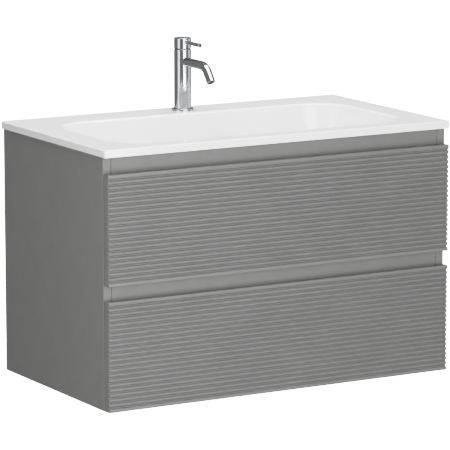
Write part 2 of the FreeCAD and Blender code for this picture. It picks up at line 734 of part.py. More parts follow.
def waste_seals():
    upper = ring(WASTE_SEAL_R, WASTE_R, (0, BOWL_MID_Y, FLOOR_Z), Z_AXIS, WASTE_SEAL_T)
    lower = ring(WASTE_SEAL_R, WASTE_R, (0, BOWL_MID_Y, WASTE_NUT_TOP_Z), Z_AXIS, LOWER_SEAL_T)
    return Part.makeCompound([upper, lower])


def waste_body():
    """The drain tube, with a bridge that guides the plug's stem."""
    tube = ring(
        WASTE_R, WASTE_BORE_R, (0, BOWL_MID_Y, WASTE_LOW_Z), Z_AXIS,
        FLOOR_Z + WASTE_SEAL_T - WASTE_LOW_Z)
    low, high = GUIDE_Z
    bridge = rod(GUIDE_R, (0, BOWL_MID_Y, low), Z_AXIS, high - low)
    bridge = bridge.fuse(block(
        (-WASTE_R + 1, BOWL_MID_Y - 2, low), (WASTE_R - 1, BOWL_MID_Y + 2, high)))
    tube = tube.fuse(bridge)
    return tube.cut(rod(PLUG_STEM_R + RUNNING_GAP, (0, BOWL_MID_Y, low - 1), Z_AXIS, high - low + 2))


def waste_nut():
    low = WASTE_NUT_TOP_Z - WASTE_NUT_H
    nut = hexagon(WASTE_NUT_ACROSS, (0, BOWL_MID_Y, low), Z_AXIS, WASTE_NUT_H)
    return nut.cut(rod(WASTE_R, (0, BOWL_MID_Y, low - 1), Z_AXIS, WASTE_NUT_H + 2))


def waste_plug():
    """A push plug: a low domed disc on a stem."""
    low = FLOOR_Z + WASTE_SEAL_T + WASTE_FLANGE_T + PLUG_LIFT
    disc = rod(PLUG_R, (0, BOWL_MID_Y, low), Z_AXIS, PLUG_T)
    disc = disc.makeFillet(2.5, outer_circle_at(disc, low + PLUG_T))
    stem_l = low - PLUG_STEM_LOW_Z + 1
    return disc.fuse(rod(PLUG_STEM_R, (0, BOWL_MID_Y, PLUG_STEM_LOW_Z), Z_AXIS, stem_l))


def trap_inlet_pipe():
    low, high = INLET_PIPE_Z
    return ring(PIPE_R, PIPE_BORE_R, (0, BOWL_MID_Y, low), Z_AXIS, high - low)


def trap_cup():
    """The bottle: a thin cup with a hole for the dip pipe and a socket for the outlet pipe."""
    low, high = CUP_Z
    middle = (0, BOWL_MID_Y, OUTLET_Z)
    shell = rod(CUP_R, (0, BOWL_MID_Y, low), Z_AXIS, high - low)
    shell = shell.makeFillet(CUP_TOP_R, outer_circle_at(shell, high))
    shell = shell.fuse(rod(SOCKET_R, middle, Y_AXIS, SOCKET_REACH))
    cavity = rod(CUP_R - CUP_WALL, (0, BOWL_MID_Y, low), Z_AXIS, high - low - CUP_WALL)
    cavity = cavity.makeFillet(CUP_TOP_R - 2, outer_circle_at(cavity, high - CUP_WALL))
    shell = shell.cut(cavity)
    shell = shell.cut(rod(PIPE_R, middle, Y_AXIS, SOCKET_REACH + 1))
    return shell.cut(rod(PIPE_R, (0, BOWL_MID_Y, high - 20), Z_AXIS, 30))


def trap_cap():
    """The screw cap under the cup, with grip ribs round its rim."""
    cap = rod(CAP_R, (0, BOWL_MID_Y, CAP_LOW_Z), Z_AXIS, CAP_H)
    cap = cap.makeFillet(3.0, outer_circle_at(cap, CAP_LOW_Z))
    cap = cap.cut(rod(CUP_R, (0, BOWL_MID_Y, CUP_Z[0]), Z_AXIS, CAP_H))
    for index in range(CAP_RIB_COUNT):
        rib = block((CAP_R - 1, -1.5, CAP_LOW_Z + 4), (CAP_R + 1, 1.5, CAP_LOW_Z + CAP_H))
        rib.rotate(vec(0, 0, 0), Z_AXIS, 360.0 / CAP_RIB_COUNT * index)
        rib.translate(vec(0, BOWL_MID_Y, 0))
        cap = cap.fuse(rib)
    return cap


def trap_collar_nuts():
    """Two hand nuts: one on the drain tube's tail and one on the outlet socket."""
    low, high = TOP_NUT_Z
    top_nut = rod(TOP_NUT_R, (0, BOWL_MID_Y, low), Z_AXIS, high - low)
    top_nut = top_nut.cut(rod(WASTE_R, (0, BOWL_MID_Y, WASTE_LOW_Z), Z_AXIS, high - low))
    top_nut = top_nut.cut(rod(PIPE_R, (0, BOWL_MID_Y, low - 1), Z_AXIS, high - low))
    start_y = SOCKET_END_Y - SIDE_NUT_LAP
    side_nut = rod(SIDE_NUT_R, (0, start_y, OUTLET_Z), Y_AXIS, SIDE_NUT_H)
    side_nut = side_nut.cut(rod(SOCKET_R, (0, start_y, OUTLET_Z), Y_AXIS, SIDE_NUT_LAP))
    side_nut = side_nut.cut(rod(PIPE_R, (0, start_y, OUTLET_Z), Y_AXIS, SIDE_NUT_H + 1))
    return Part.makeCompound([top_nut, side_nut])


def trap_outlet_pipe():
    """The pipe to the wall: a bead round it stops it in the wall's socket."""
    start = SOCKET_END_Y - PIPE_IN_SOCKET
    pipe = ring(PIPE_R, PIPE_BORE_R, (0, start, OUTLET_Z), Y_AXIS, WALL_Y - start)
    low, high = STOP_BEAD_Y
    return pipe.fuse(ring(STOP_BEAD_R, PIPE_BORE_R + 0.5, (0, low, OUTLET_Z), Y_AXIS, high - low))


def all_pieces():
    """Every piece by its node name."""
    pieces = {
        "bottom_panel": bottom_panel(),
        "top_front_rail": front_rail(CARCASS_H - TOP_RAIL_H, CARCASS_H),
        "middle_front_rail": front_rail(*MIDDLE_RAIL_Z),
        "back_rail_top": back_rail_top(),
        "back_rail_bottom": back_rail(BOTTOM_T, BOTTOM_T + BACK_RAIL_BOTTOM_H),
        "front_buffers": front_buffers(),
        "washbasin": washbasin(),
        "runner_screws": runner_screws(),
        "tap_base_ring": tap_base_ring(),
        "tap_body": tap_body(),
        "tap_spout": tap_spout(),
        "tap_aerator": tap_aerator(),
        "tap_cartridge": tap_cartridge(),
        "tap_rotor": tap_rotor(),
        "tap_stem": tap_stem(),
        "tap_handle_cap": tap_handle_cap(),
        "tap_lever": tap_lever(),
        "tap_fixing_stud": tap_fixing_stud(),
        "tap_clamp_washer": tap_clamp_washer(),
        "tap_fixing_nut": tap_fixing_nut(),
        "waste_flange": waste_flange(),
        "waste_seals": waste_seals(),
        "waste_body": waste_body(),
        "waste_nut": waste_nut(),
        "waste_plug": waste_plug(),
        "trap_inlet_pipe": trap_inlet_pipe(),
        "trap_collar_nuts": trap_collar_nuts(),
        "trap_cup": trap_cup(),
        "trap_cap": trap_cap(),
        "trap_outlet_pipe": trap_outlet_pipe(),
        "upper_drawer_front": drawer_front(UPPER_FRONT_Z),
        "upper_drawer_bottom": upper_drawer_bottom(),
        "upper_drawer_backs": upper_drawer_backs(),
        "upper_drawer_cutout_wall": upper_drawer_cutout_wall(),
        "upper_drawer_brackets": corner_brackets(BRACKET_Z["upper"]),
        "lower_drawer_front": drawer_front(LOWER_FRONT_Z),
        "lower_drawer_bottom": drawer_bottom(LOWER_BOX_Z[0]),
        "lower_drawer_back": drawer_back(LOWER_BOX_Z, -BOX_INNER_X, BOX_INNER_X),
        "lower_drawer_brackets": corner_brackets(BRACKET_Z["lower"]),
        "hanger_housings": Part.makeCompound([hanger_housing(x) for x in (-HANGER_X, HANGER_X)]),
        "hanger_hooks": Part.makeCompound([hanger_hook(x) for x in (-HANGER_X, HANGER_X)]),
        "wall_plates": Part.makeCompound([wall_plate(x) for x in (-HANGER_X, HANGER_X)]),
    }
    pairs = {"side_panel": side_panel_right()}
    for level, box_z, runner_z in (
            ("upper", UPPER_BOX_Z, UPPER_RUNNER_Z), ("lower", LOWER_BOX_Z, LOWER_RUNNER_Z)):
        pairs[level + "_drawer_side"] = drawer_side_right(box_z)
        pairs[level + "_runner_cabinet"] = runner_cabinet_member(runner_z)
        pairs[level + "_runner_middle"] = runner_middle_member(runner_z)
        pairs[level + "_runner_drawer"] = runner_drawer_member(runner_z)
    for name, right in pairs.items():
        pieces[name + "_right"] = right
        pieces[name + "_left"] = mirrored(right)
    return pieces


def main():
    os.makedirs("parts", exist_ok=True)
    for name, shape in sorted(all_pieces().items()):
        if not shape.isValid():
            raise ValueError("not a valid solid: " + name)
        shape.exportStep(os.path.join("parts", name + ".step"))
        print("%-28s solids %d  volume %.1f cm3" % (name, len(shape.Solids), shape.Volume / 1000))


main()
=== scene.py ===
"""A wall-hung bathroom vanity: grey ribbed drawers, a white ceramic washbasin and a chrome mixer tap."""
import json
import math

import bmesh
import bpy
from mathutils import Matrix, Vector


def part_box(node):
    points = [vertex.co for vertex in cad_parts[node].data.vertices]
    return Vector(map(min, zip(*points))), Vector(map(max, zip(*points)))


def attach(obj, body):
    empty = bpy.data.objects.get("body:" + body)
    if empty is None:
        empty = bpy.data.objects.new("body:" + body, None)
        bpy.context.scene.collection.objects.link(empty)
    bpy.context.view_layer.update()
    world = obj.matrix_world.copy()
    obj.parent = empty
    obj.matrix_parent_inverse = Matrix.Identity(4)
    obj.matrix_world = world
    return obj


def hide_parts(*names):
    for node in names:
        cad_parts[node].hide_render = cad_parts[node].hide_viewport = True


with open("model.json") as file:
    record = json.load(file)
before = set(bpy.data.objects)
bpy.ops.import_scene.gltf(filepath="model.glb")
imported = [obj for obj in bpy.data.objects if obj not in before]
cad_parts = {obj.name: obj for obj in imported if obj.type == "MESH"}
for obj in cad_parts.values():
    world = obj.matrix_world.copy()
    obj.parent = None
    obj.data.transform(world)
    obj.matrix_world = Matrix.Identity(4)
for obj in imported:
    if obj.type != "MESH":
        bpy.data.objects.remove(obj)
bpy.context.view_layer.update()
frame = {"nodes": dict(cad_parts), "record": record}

MM = 0.001
UP = Vector((0, 0, 1))
TO_WALL = Vector((0, 1, 0))

# Sizes in millimetres, most of them the design's own
RIB_PITCH = 10.05
RIB_COUNT = 21
RIB_DEPTH = 4.5
RIB_START = 4.0
RIB_SLOPE = math.radians(60.0)
CREST_R = 2.9
GRIP_END = 20.0
GRIP_DEPTH = 10.0
GRIP_HEIGHT = 20.0
GRIP_CORNER = 4.0
FRONT_EDGE = 0.48
JOINT_GAP = 0.45
BASIN_T = 16.0
BOWL_FRONT = 46.0
BOWL_BACK = 92.0
BOWL_SIDE = 64.0
BOWL_CORNER = 80.0
BOWL_DRAFT = 22.0
BOWL_DEPTH = 110.0
BOWL_WALL = 9.0
BOWL_LIP = 7.0
BOWL_BOTTOM_R = 45.0
BOWL_FALL = 2.5
SLAB_CORNER = 4.0
SLAB_UNDER_R = 2.0
SLAB_TOP_R = 2.5
DRAIN_R = 23.0
DRAIN_COLLAR_R = 40.0
DRAIN_DISH_R = 52.0
DRAIN_FLAT_R = 36.0
TAP_R = 18.0
TAP_JOINT = 129.5
TAP_GAP = 1.6
TAP_CHAMFER = 0.8
TAP_EDGE_R = 1.6
PIVOT_BELOW_JOINT = 18.5
SPOUT_R = 9.25
SPOUT_ROOT = 103.5
SPOUT_DROP = math.radians(52.0)
SPOUT_TIP = (121.0, 72.2)
SPOUT_BEND = 33.0
AERATOR_R = 7.2
LEVER_R = 4.0
LEVER_H = 144.0
LEVER_REACH = 75.5
LEVER_KNOB = 6.5
WASTE_BORE = 17.0
WASTE_THREAD = 2.0
PIPE_R = 16.0
PIPE_BORE = 14.5
CUP_R = 33.0
CUP_BORE = 30.5
SOCKET_R = 19.0
CAP_R = 36.0
CAP_H = 22.0
# Radius, width, and how far it stays from the pipe's end
STOP_BEAD = (18.0, 3.0, 38.0)
# Radius and length
TOP_NUT = (26.0, 22.0)
SIDE_NUT = (24.0, 20.0)

# Points nearer than this are one, and edges that turn by fewer degrees are smooth
SAME_PLACE = 0.002 * MM
SHARP_ANGLE = 35.0


# ---------------------------------------------------------------- materials

def linear(code):
    """An sRGB hex colour as linear red, green, blue and alpha."""
    parts = [int(code[i:i + 2], 16) / 255 for i in (0, 2, 4)]
    return tuple(v / 12.92 if v <= 0.04045 else ((v + 0.055) / 1.055) ** 2.4 for v in parts) + (1.0,)


def add_node(tree, kind, values=None, links=None):
    """A shader node with its settings, its constant inputs and its links."""
    node = tree.nodes.new(kind)
    for key, value in (values or {}).items():
        if key in node.inputs:
            node.inputs[key].default_value = value
        else:
            setattr(node, key, value)
    for key, source in (links or {}).items():
        tree.links.new(source, node.inputs[key])
    return node


def start_material(name, **values):
    """A material whose constant values sit on the shader's own sockets."""
    material = bpy.data.materials.new(name)
    material.use_nodes = True
    tree = material.node_tree
    shader = tree.nodes["Principled BSDF"]
    for key, value in values.items():
        shader.inputs[key.replace("_", " ")].default_value = value
    place = add_node(tree, "ShaderNodeTexCoord")
    return material, tree, shader, place.outputs["Object"]


def scale_of(size_mm):
    """The texture scale that makes one feature this many millimetres wide."""
    return 1.0 / (size_mm * MM)


def tint(tree, shader, source, dark, light, low=0.3, high=0.7):
    """Colour that drifts between two close shades."""
    ramp = add_node(tree, "ShaderNodeValToRGB", links={"Fac": source})
    ramp.color_ramp.elements[0].position = low
    ramp.color_ramp.elements[0].color = linear(dark)
    ramp.color_ramp.elements[1].position = high
    ramp.color_ramp.elements[1].color = linear(light)
    tree.links.new(ramp.outputs["Color"], shader.inputs["Base Color"])


def roughen(tree, shader, source, low, high):
    """Roughness that varies between two values."""
    spread = add_node(
        tree, "ShaderNodeMapRange", {"To Min": low, "To Max": high}, {"Value": source})
    tree.links.new(spread.outputs["Result"], shader.inputs["Roughness"])


def bump(tree, shader, source, height_mm, strength=1.0):
    """Relief of the given height on the surface."""
    relief = add_node(
        tree, "ShaderNodeBump", {"Strength": strength, "Distance": height_mm * MM}, {"Height": source})
    tree.links.new(relief.outputs["Normal"], shader.inputs["Normal"])


def noise(tree, place, size_mm, detail=2.0, stretch=None):
    """Noise of a real size; stretch lengthens it along the axes."""
    if stretch:
        place = add_node(
            tree, "ShaderNodeMapping", {"Scale": stretch}, {"Vector": place}).outputs["Vector"]
    values = {"Scale": scale_of(size_mm), "Detail": detail}
    return add_node(tree, "ShaderNodeTexNoise", values, {"Vector": place}).outputs["Fac"]


def satin_lacquer():
    # Polyurethane lacquer sprayed on routed fibreboard: an even grey, a silky sheen and a faint
    # orange peel about 2 mm wide.
    material, tree, shader, place = start_material(
        "satin_polyurethane_lacquer", IOR=1.49, Roughness=0.42)
    tint(tree, shader, noise(tree, place, 60.0), "7B7B7A", "7F7F7E")
    peel = noise(tree, place, 2.2, 1.0)
    roughen(tree, shader, peel, 0.4, 0.46)
    bump(tree, shader, peel, 0.003)
    return material


def faced_board():
    # Melamine-faced chipboard: printed grey paper under a matt resin pressed with a fine pore,
    # which breaks up the light a little.
    material, tree, shader, place = start_material("matt_faced_board", IOR=1.5, Roughness=0.5)
    tint(tree, shader, noise(tree, place, 35.0, 3.0), "7E7E7D", "828281")
    pores = noise(tree, place, 1.6, 3.0, (0.35, 0.35, 1.0))
    roughen(tree, shader, pores, 0.46, 0.58)
    bump(tree, shader, pores, 0.02)
    return material


def linen_board():
    # Drawer boards faced with a linen-pressed melamine: crossed threads about 1.5 mm apart.
    material, tree, shader, place = start_material("linen_melamine", IOR=1.5, Roughness=0.55)
    threads = []
    for axis in ("X", "Z"):
        wave = add_node(
            tree, "ShaderNodeTexWave",
            {"Scale": scale_of(1.5) / (2 * math.pi) * 0.5, "Distortion": 1.2, "Detail": 2.0,
             "Detail Scale": 3.0, "bands_direction": axis},
            {"Vector": place})
        threads.append(wave.outputs["Fac"])
    cloth = add_node(
        tree, "ShaderNodeMath", {"operation": "MULTIPLY"}, dict(enumerate(threads))).outputs["Value"]
    tint(tree, shader, cloth, "6E6F70", "7C7D7E", 0.1, 0.8)
    bump(tree, shader, cloth, 0.03)
    return material


def vitreous_glaze():
    # Vitreous china under a clear glaze: bright white, mirror-smooth, with the long soft
    # ripples that a fired glaze keeps.
    material, tree, shader, place = start_material(
        "glazed_vitreous_china", IOR=1.52, Roughness=0.08, Coat_Weight=0.3, Coat_Roughness=0.03)
    tint(tree, shader, noise(tree, place, 150.0), "F0F1F0", "F4F4F3")
    bump(tree, shader, noise(tree, place, 45.0, 0.0), 0.05)
    return material


def chrome_plate():
    # Bright chromium plate over polished brass: a cool mirror with a very slight haze that
    # varies where it has been wiped.
    material, tree, shader, place = start_material(
        "bright_chrome_plate", Base_Color=linear("B3B5B7"), Metallic=1.0, Roughness=0.06)
    roughen(tree, shader, noise(tree, place, 14.0, 3.0), 0.035, 0.09)
    return material


def zinc_plate():
    # Cold-rolled steel with bright zinc plating: bluish grey with a fine rolling grain along
    # its length.
    material, tree, shader, place = start_material(
        "zinc_plated_steel", Metallic=1.0, Roughness=0.34)
    tint(tree, shader, noise(tree, place, 18.0, 3.0), "9DA1A4", "AEB1B3")
    grain = noise(tree, place, 0.8, 2.0, (1.0, 0.04, 1.0))
    roughen(tree, shader, grain, 0.26, 0.42)
    bump(tree, shader, grain, 0.004)
    return material


def turned_brass():
    # Machined brass left bare: warm yellow with fine turning rings.
    material, tree, shader, place = start_material("turned_brass", Metallic=1.0, Roughness=0.28)
    tint(tree, shader, noise(tree, place, 10.0), "B8975A", "C9AA66")
    rings = add_node(
        tree, "ShaderNodeTexWave", {"Scale": scale_of(0.8) / (2 * math.pi), "bands_direction": "Z"},
        {"Vector": place})
    bump(tree, shader, rings.outputs["Fac"], 0.01)
    return material


def moulded_plastic(name, dark, light, low, high):
    # Injection-moulded plastic: an even colour with a fine spark-eroded texture.
    material, tree, shader, place = start_material(name, IOR=1.49, Roughness=low)
    tint(tree, shader, noise(tree, place, 25.0), dark, light)
    spark = noise(tree, place, 0.7, 2.0)
    roughen(tree, shader, spark, low, high)
    bump(tree, shader, spark, 0.01)
    return material


def rubber():
    # Soft moulded rubber: near black, dull, with a slightly dusty bloom.
    material, tree, shader, place = start_material("moulded_rubber", IOR=1.52, Roughness=0.8)
    tint(tree, shader, noise(tree, place, 4.0, 3.0), "1B1B1C", "262627")
    return material


LACQUER = satin_lacquer()
CARCASS_BOARD = faced_board()
LINEN_BOARD = linen_board()
GLAZE = vitreous_glaze()
CHROME = chrome_plate()
ZINC = zinc_plate()
BRASS = turned_brass()
WHITE_PLASTIC = moulded_plastic("white_polypropylene", "E4E4E1", "E9E9E6", 0.34, 0.46)
GREY_PLASTIC = moulded_plastic("grey_acetal", "4A4C4E", "525456", 0.4, 0.52)
RUBBER = rubber()

BY_SLOT = {
    "carcass_board": CARCASS_BOARD,
    "lacquered_front": LACQUER,
    "drawer_board": LINEN_BOARD,
    "glazed_ceramic": GLAZE,
    "chrome": CHROME,
    "brass": BRASS,
    "zinc_steel": ZINC,
    "white_plastic": WHITE_PLASTIC,
    "grey_plastic": GREY_PLASTIC,
    "rubber": RUBBER,
}
SLOT_OF = {s["node"]: s["material_slot"] for s in frame["record"]["subparts"]}
BODY_OF = {
    node: body
    for body, members in frame["record"]["behaviour"]["bodies"].items()
    for node in members
}


# ---------------------------------------------------------------- mesh helpers

PIECES = []


def smooth_up_to(bm, angle):
    """Smooths every face, and keeps the edges sharp where they turn by more than an angle."""
    for face in bm.faces:
        face.smooth = True
    for edge in bm.edges:
        edge.smooth = len(edge.link_faces) == 2 and edge.calc_face_angle() < math.radians(angle)


def finish_piece(name, bm, node, sharp=SHARP_ANGLE):
    """Turns a mesh into the visible piece that stands for a CAD node and rides on its body."""
    bmesh.ops.recalc_face_normals(bm, faces=bm.faces[:])
    smooth_up_to(bm, sharp)
    mesh = bpy.data.meshes.new(name)
    bm.to_mesh(mesh)
    bm.free()
    piece = bpy.data.objects.new(name, mesh)
    bpy.context.scene.collection.objects.link(piece)
    mesh.materials.append(BY_SLOT[SLOT_OF[node]])
    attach(piece, BODY_OF[node])
    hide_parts(node)
    PIECES.append(piece)
    return piece


def sharp_edges(bm, angle, test=None):
    """Edges where two faces turn by more than an angle in degrees."""
    return [
        e for e in bm.edges
        if len(e.link_faces) == 2 and e.calc_face_angle() > math.radians(angle)
        and (test is None or test((e.verts[0].co + e.verts[1].co) / 2))
    ]


def soften(bm, edges, radius_mm, segments=3):
    """Rounds edges."""
    bmesh.ops.bevel(
        bm, geom=edges, offset=radius_mm * MM, offset_type="OFFSET", segments=segments,
        profile=0.5, affect="EDGES", material=-1, clamp_overlap=True)


def box_mesh(bm, low, high):
    """A box between two opposite corners; returns its vertices."""
    middle = (low + high) / 2
    size = high - low
    place = Matrix.Translation(middle) @ Matrix.Diagonal((size.x, size.y, size.z, 1.0))
    return bmesh.ops.create_cube(bm, size=1.0, matrix=place)["verts"]


def middle_of(node):
    """The middle of a CAD node's box."""
    low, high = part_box(node)
    return (low + high) / 2


def foot_of(node):
    """The middle of the underside of an upright part that stands over the cabinet's middle."""
    return Vector((0, middle_of(node).y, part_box(node)[0].z))


def girth_of(node):
    """The outer radius and the height of an upright turned part, in millimetres."""
    low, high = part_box(node)
    return (high.x - low.x) / 2 / MM, (high.z - low.z) / MM


def join_touching(bm):
    """Makes one point of the points that lie together."""
    bmesh.ops.remove_doubles(bm, verts=bm.verts[:], dist=SAME_PLACE)


def pour(part, bm):
    """Adds a finished part to a mesh and lets the part go."""
    spare = bpy.data.meshes.new("spare")
    part.to_mesh(spare)
    part.free()
    bm.from_mesh(spare)
    bpy.data.meshes.remove(spare)


def aim(point, direction):
    """Places something built round +Z so that it starts at a point and faces a direction."""
    return Matrix.Translation(point) @ UP.rotation_difference(direction).to_matrix().to_4x4()


def turn(bm, profile, point, direction=UP, steps=64, edge_mm=0.0):
    """Spins a profile of (radius, height) points in millimetres round an axis."""
    verts = [bm.verts.new(Vector((r, 0, h)) * MM) for r, h in profile]
    edges = [bm.edges.new(pair) for pair in zip(verts, verts[1:])]
    before = set(bm.faces)
    bmesh.ops.spin(
        bm, geom=verts + edges, cent=(0, 0, 0), axis=UP, dvec=(0, 0, 0), angle=2 * math.pi,
        steps=steps, use_merge=True, use_duplicate=False)
    faces = [f for f in bm.faces if f not in before]
    spun = list({v for f in faces for v in f.verts})
    bmesh.ops.transform(bm, matrix=aim(point, direction), verts=spun)
    if edge_mm:
        bmesh.ops.remove_doubles(bm, verts=spun, dist=SAME_PLACE)
        kept = {e for f in bm.faces if f not in before for e in f.edges}
        bmesh.ops.recalc_face_normals(bm, faces=[f for f in bm.faces if f not in before])
        sharp = set(sharp_edges(bm, 30.0))
        soften(bm, [e for e in kept if e in sharp], edge_mm)


def turned_piece(name, node, profiles, edge_mm=0.0):
    """A piece made of turned solids: each is a profile, a start point and a direction."""
    bm = bmesh.new()
    for profile, point, direction in profiles:
        turn(bm, profile, point, direction, edge_mm=edge_mm)
    join_touching(bm)
    finish_piece(name, bm, node)


def arc(centre, radius, start, end, steps):
    """Points of an arc in the profile plane; angles in degrees from the +radius axis."""
    angles = [math.radians(start + (end - start) * i / steps) for i in range(steps + 1)]
    return [(centre[0] + radius * math.cos(a), centre[1] + radius * math.sin(a)) for a in angles]


def cut_out(piece, cutter_bm):
    """Cuts a solid out of a piece, and smooths what is left as before."""
    mesh = bpy.data.meshes.new("cutter")
    cutter_bm.to_mesh(mesh)
    cutter_bm.free()
    cutter = bpy.data.objects.new("cutter", mesh)
    bpy.context.scene.collection.objects.link(cutter)
    cut = piece.modifiers.new("cut", "BOOLEAN")
    cut.object = cutter
    cut.operation = "DIFFERENCE"
    cut.solver = "EXACT"
    bpy.context.view_layer.update()
    ready = piece.evaluated_get(bpy.context.evaluated_depsgraph_get())
    result = bpy.data.meshes.new_from_object(ready)
    piece.modifiers.remove(cut)
    old = piece.data
    piece.data = result
    bpy.data.meshes.remove(old)
    bpy.data.objects.remove(cutter)
    bpy.data.meshes.remove(mesh)
    bm = bmesh.new()
    bm.from_mesh(piece.data)
    smooth_up_to(bm, SHARP_ANGLE)
    bm.to_mesh(piece.data)
    bm.free()


def even_shading():
    """Keeps the flat faces of every new piece flat-lit beside their rounded edges."""
    for piece in PIECES:
        evened = piece.modifiers.new("even_shading", "WEIGHTED_NORMAL")
        evened.keep_sharp = True


# ---------------------------------------------------------------- boards

def board(node, edge_mm=0.8, joint_mm=0.0):
    """A flat board with its edges just broken, and its ends drawn in a little where a joint shows."""
    low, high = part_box(node)
    low.x += joint_mm * MM
    high.x -= joint_mm * MM
    bm = bmesh.new()
    box_mesh(bm, low, high)
    soften(bm, bm.edges[:], edge_mm)
    finish_piece(node + "_board", bm, node)


# ---------------------------------------------------------------- ribbed drawer fronts

def rib_section():
    """One rib, from crest to crest, as (height, depth) points: round crests and round flutes."""
    half = RIB_PITCH / 2
    spread, drop = math.sin(RIB_SLOPE), 1 - math.cos(RIB_SLOPE)
    lean = math.tan(RIB_SLOPE)
    flute_r = (half * lean - RIB_DEPTH) / (spread * lean - drop) - CREST_R
    crest = [
        (CREST_R * math.sin(t), CREST_R * (1 - math.cos(t)))
        for t in (0, RIB_SLOPE / 2, RIB_SLOPE)
    ]
    flute = [
        (half - flute_r * math.sin(t), RIB_DEPTH - flute_r * (1 - math.cos(t)))
        for t in [RIB_SLOPE * (1 - i / 6) for i in range(7)]
    ]
    falling = crest + flute
    rising = [(RIB_PITCH - height, depth) for height, depth in reversed(falling[:-1])]
    return falling + rising[:-1]


def front_section():
    """The whole face of a front, from its bottom edge, as (height, depth) points."""
    ribs = [
        (RIB_START + RIB_PITCH * i + height, depth)
        for i in range(RIB_COUNT) for height, depth in rib_section()
    ]
    return ribs + [(RIB_START + RIB_PITCH * RIB_COUNT, 0.0)]


def ribbed_front(node):
    """A thick lacquered front: one row of faces per point of each rib, drawn back into a board."""
    low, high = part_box(node)
    height = (high.z - low.z) / MM
    section = [(0.0, 0.0)] + front_section() + [(height, 0.0)]
    rows = len(section) - 1
    bm = bmesh.new()
    bmesh.ops.create_grid(
        bm, x_segments=1, y_segments=rows, size=1.0, matrix=Matrix.Rotation(math.pi / 2, 4, "X"))
    for vert in bm.verts:
        level, depth = section[round((vert.co.z + 1) / 2 * rows)]
        vert.co.x = low.x if vert.co.x < 0 else high.x
        vert.co.y = low.y + depth * MM
        vert.co.z = low.z + level * MM
    swept = bmesh.ops.extrude_face_region(bm, geom=bm.faces[:])
    for item in swept["geom"]:
        if isinstance(item, bmesh.types.BMVert):
            item.co.y = high.y
    bmesh.ops.recalc_face_normals(bm, faces=bm.faces[:])
    ends = sharp_edges(bm, 50.0, lambda p: p.y < high.y - 2 * MM)
    soften(bm, ends, FRONT_EDGE, 2)
    piece = finish_piece(node + "_ribbed", bm, node)
    grip = bmesh.new()
    box_mesh(
        grip,
        Vector((low.x + GRIP_END * MM, high.y - GRIP_DEPTH * MM, high.z - GRIP_HEIGHT * MM)),
        Vector((high.x - GRIP_END * MM, high.y + MM, high.z + MM)))
    soften(grip, sharp_edges(grip, 40.0, lambda p: p.y < high.y and p.z < high.z), GRIP_CORNER, 6)
    cut_out(piece, grip)


# ---------------------------------------------------------------- washbasin

CORNER_STEPS = 20


def lay_ring(verts, order, half_x, half_y, radius, middle, z):
    """Moves a ring's vertices onto a level rectangle with round corners."""
    for vert in verts:
        corner, step = divmod(vert[order], CORNER_STEPS + 1)
        turned = math.pi / 2 * (corner + step / CORNER_STEPS)
        side_x = 1 if corner in (0, 3) else -1
        side_y = 1 if corner in (0, 1) else -1
        vert.co = Vector((
            side_x * (half_x - radius) + radius * math.cos(turned),
            middle + side_y * (half_y - radius) + radius * math.sin(turned),
            z)) * MM


def ringed_shell(rings):
    """A closed shell drawn out through level rings, the last one joined to the first."""
    bm = bmesh.new()
    order = bm.verts.layers.int.new("order")
    count = 4 * (CORNER_STEPS + 1)
    bmesh.ops.create_circle(bm, cap_ends=False, segments=count, radius=1.0)
    bm.verts.ensure_lookup_table()
    for vert in bm.verts:
        vert[order] = round(math.atan2(vert.co.y, vert.co.x) / (2 * math.pi) * count) % count
    edges = bm.edges[:]
    lay_ring(bm.verts, order, *rings[0])
    for ring in rings[1:] + rings[:1]:
        made = bmesh.ops.extrude_edge_only(bm, edges=edges)["geom"]
        lay_ring([g for g in made if isinstance(g, bmesh.types.BMVert)], order, *ring)
        edges = [g for g in made if isinstance(g, bmesh.types.BMEdge)]
    join_touching(bm)
    return bm


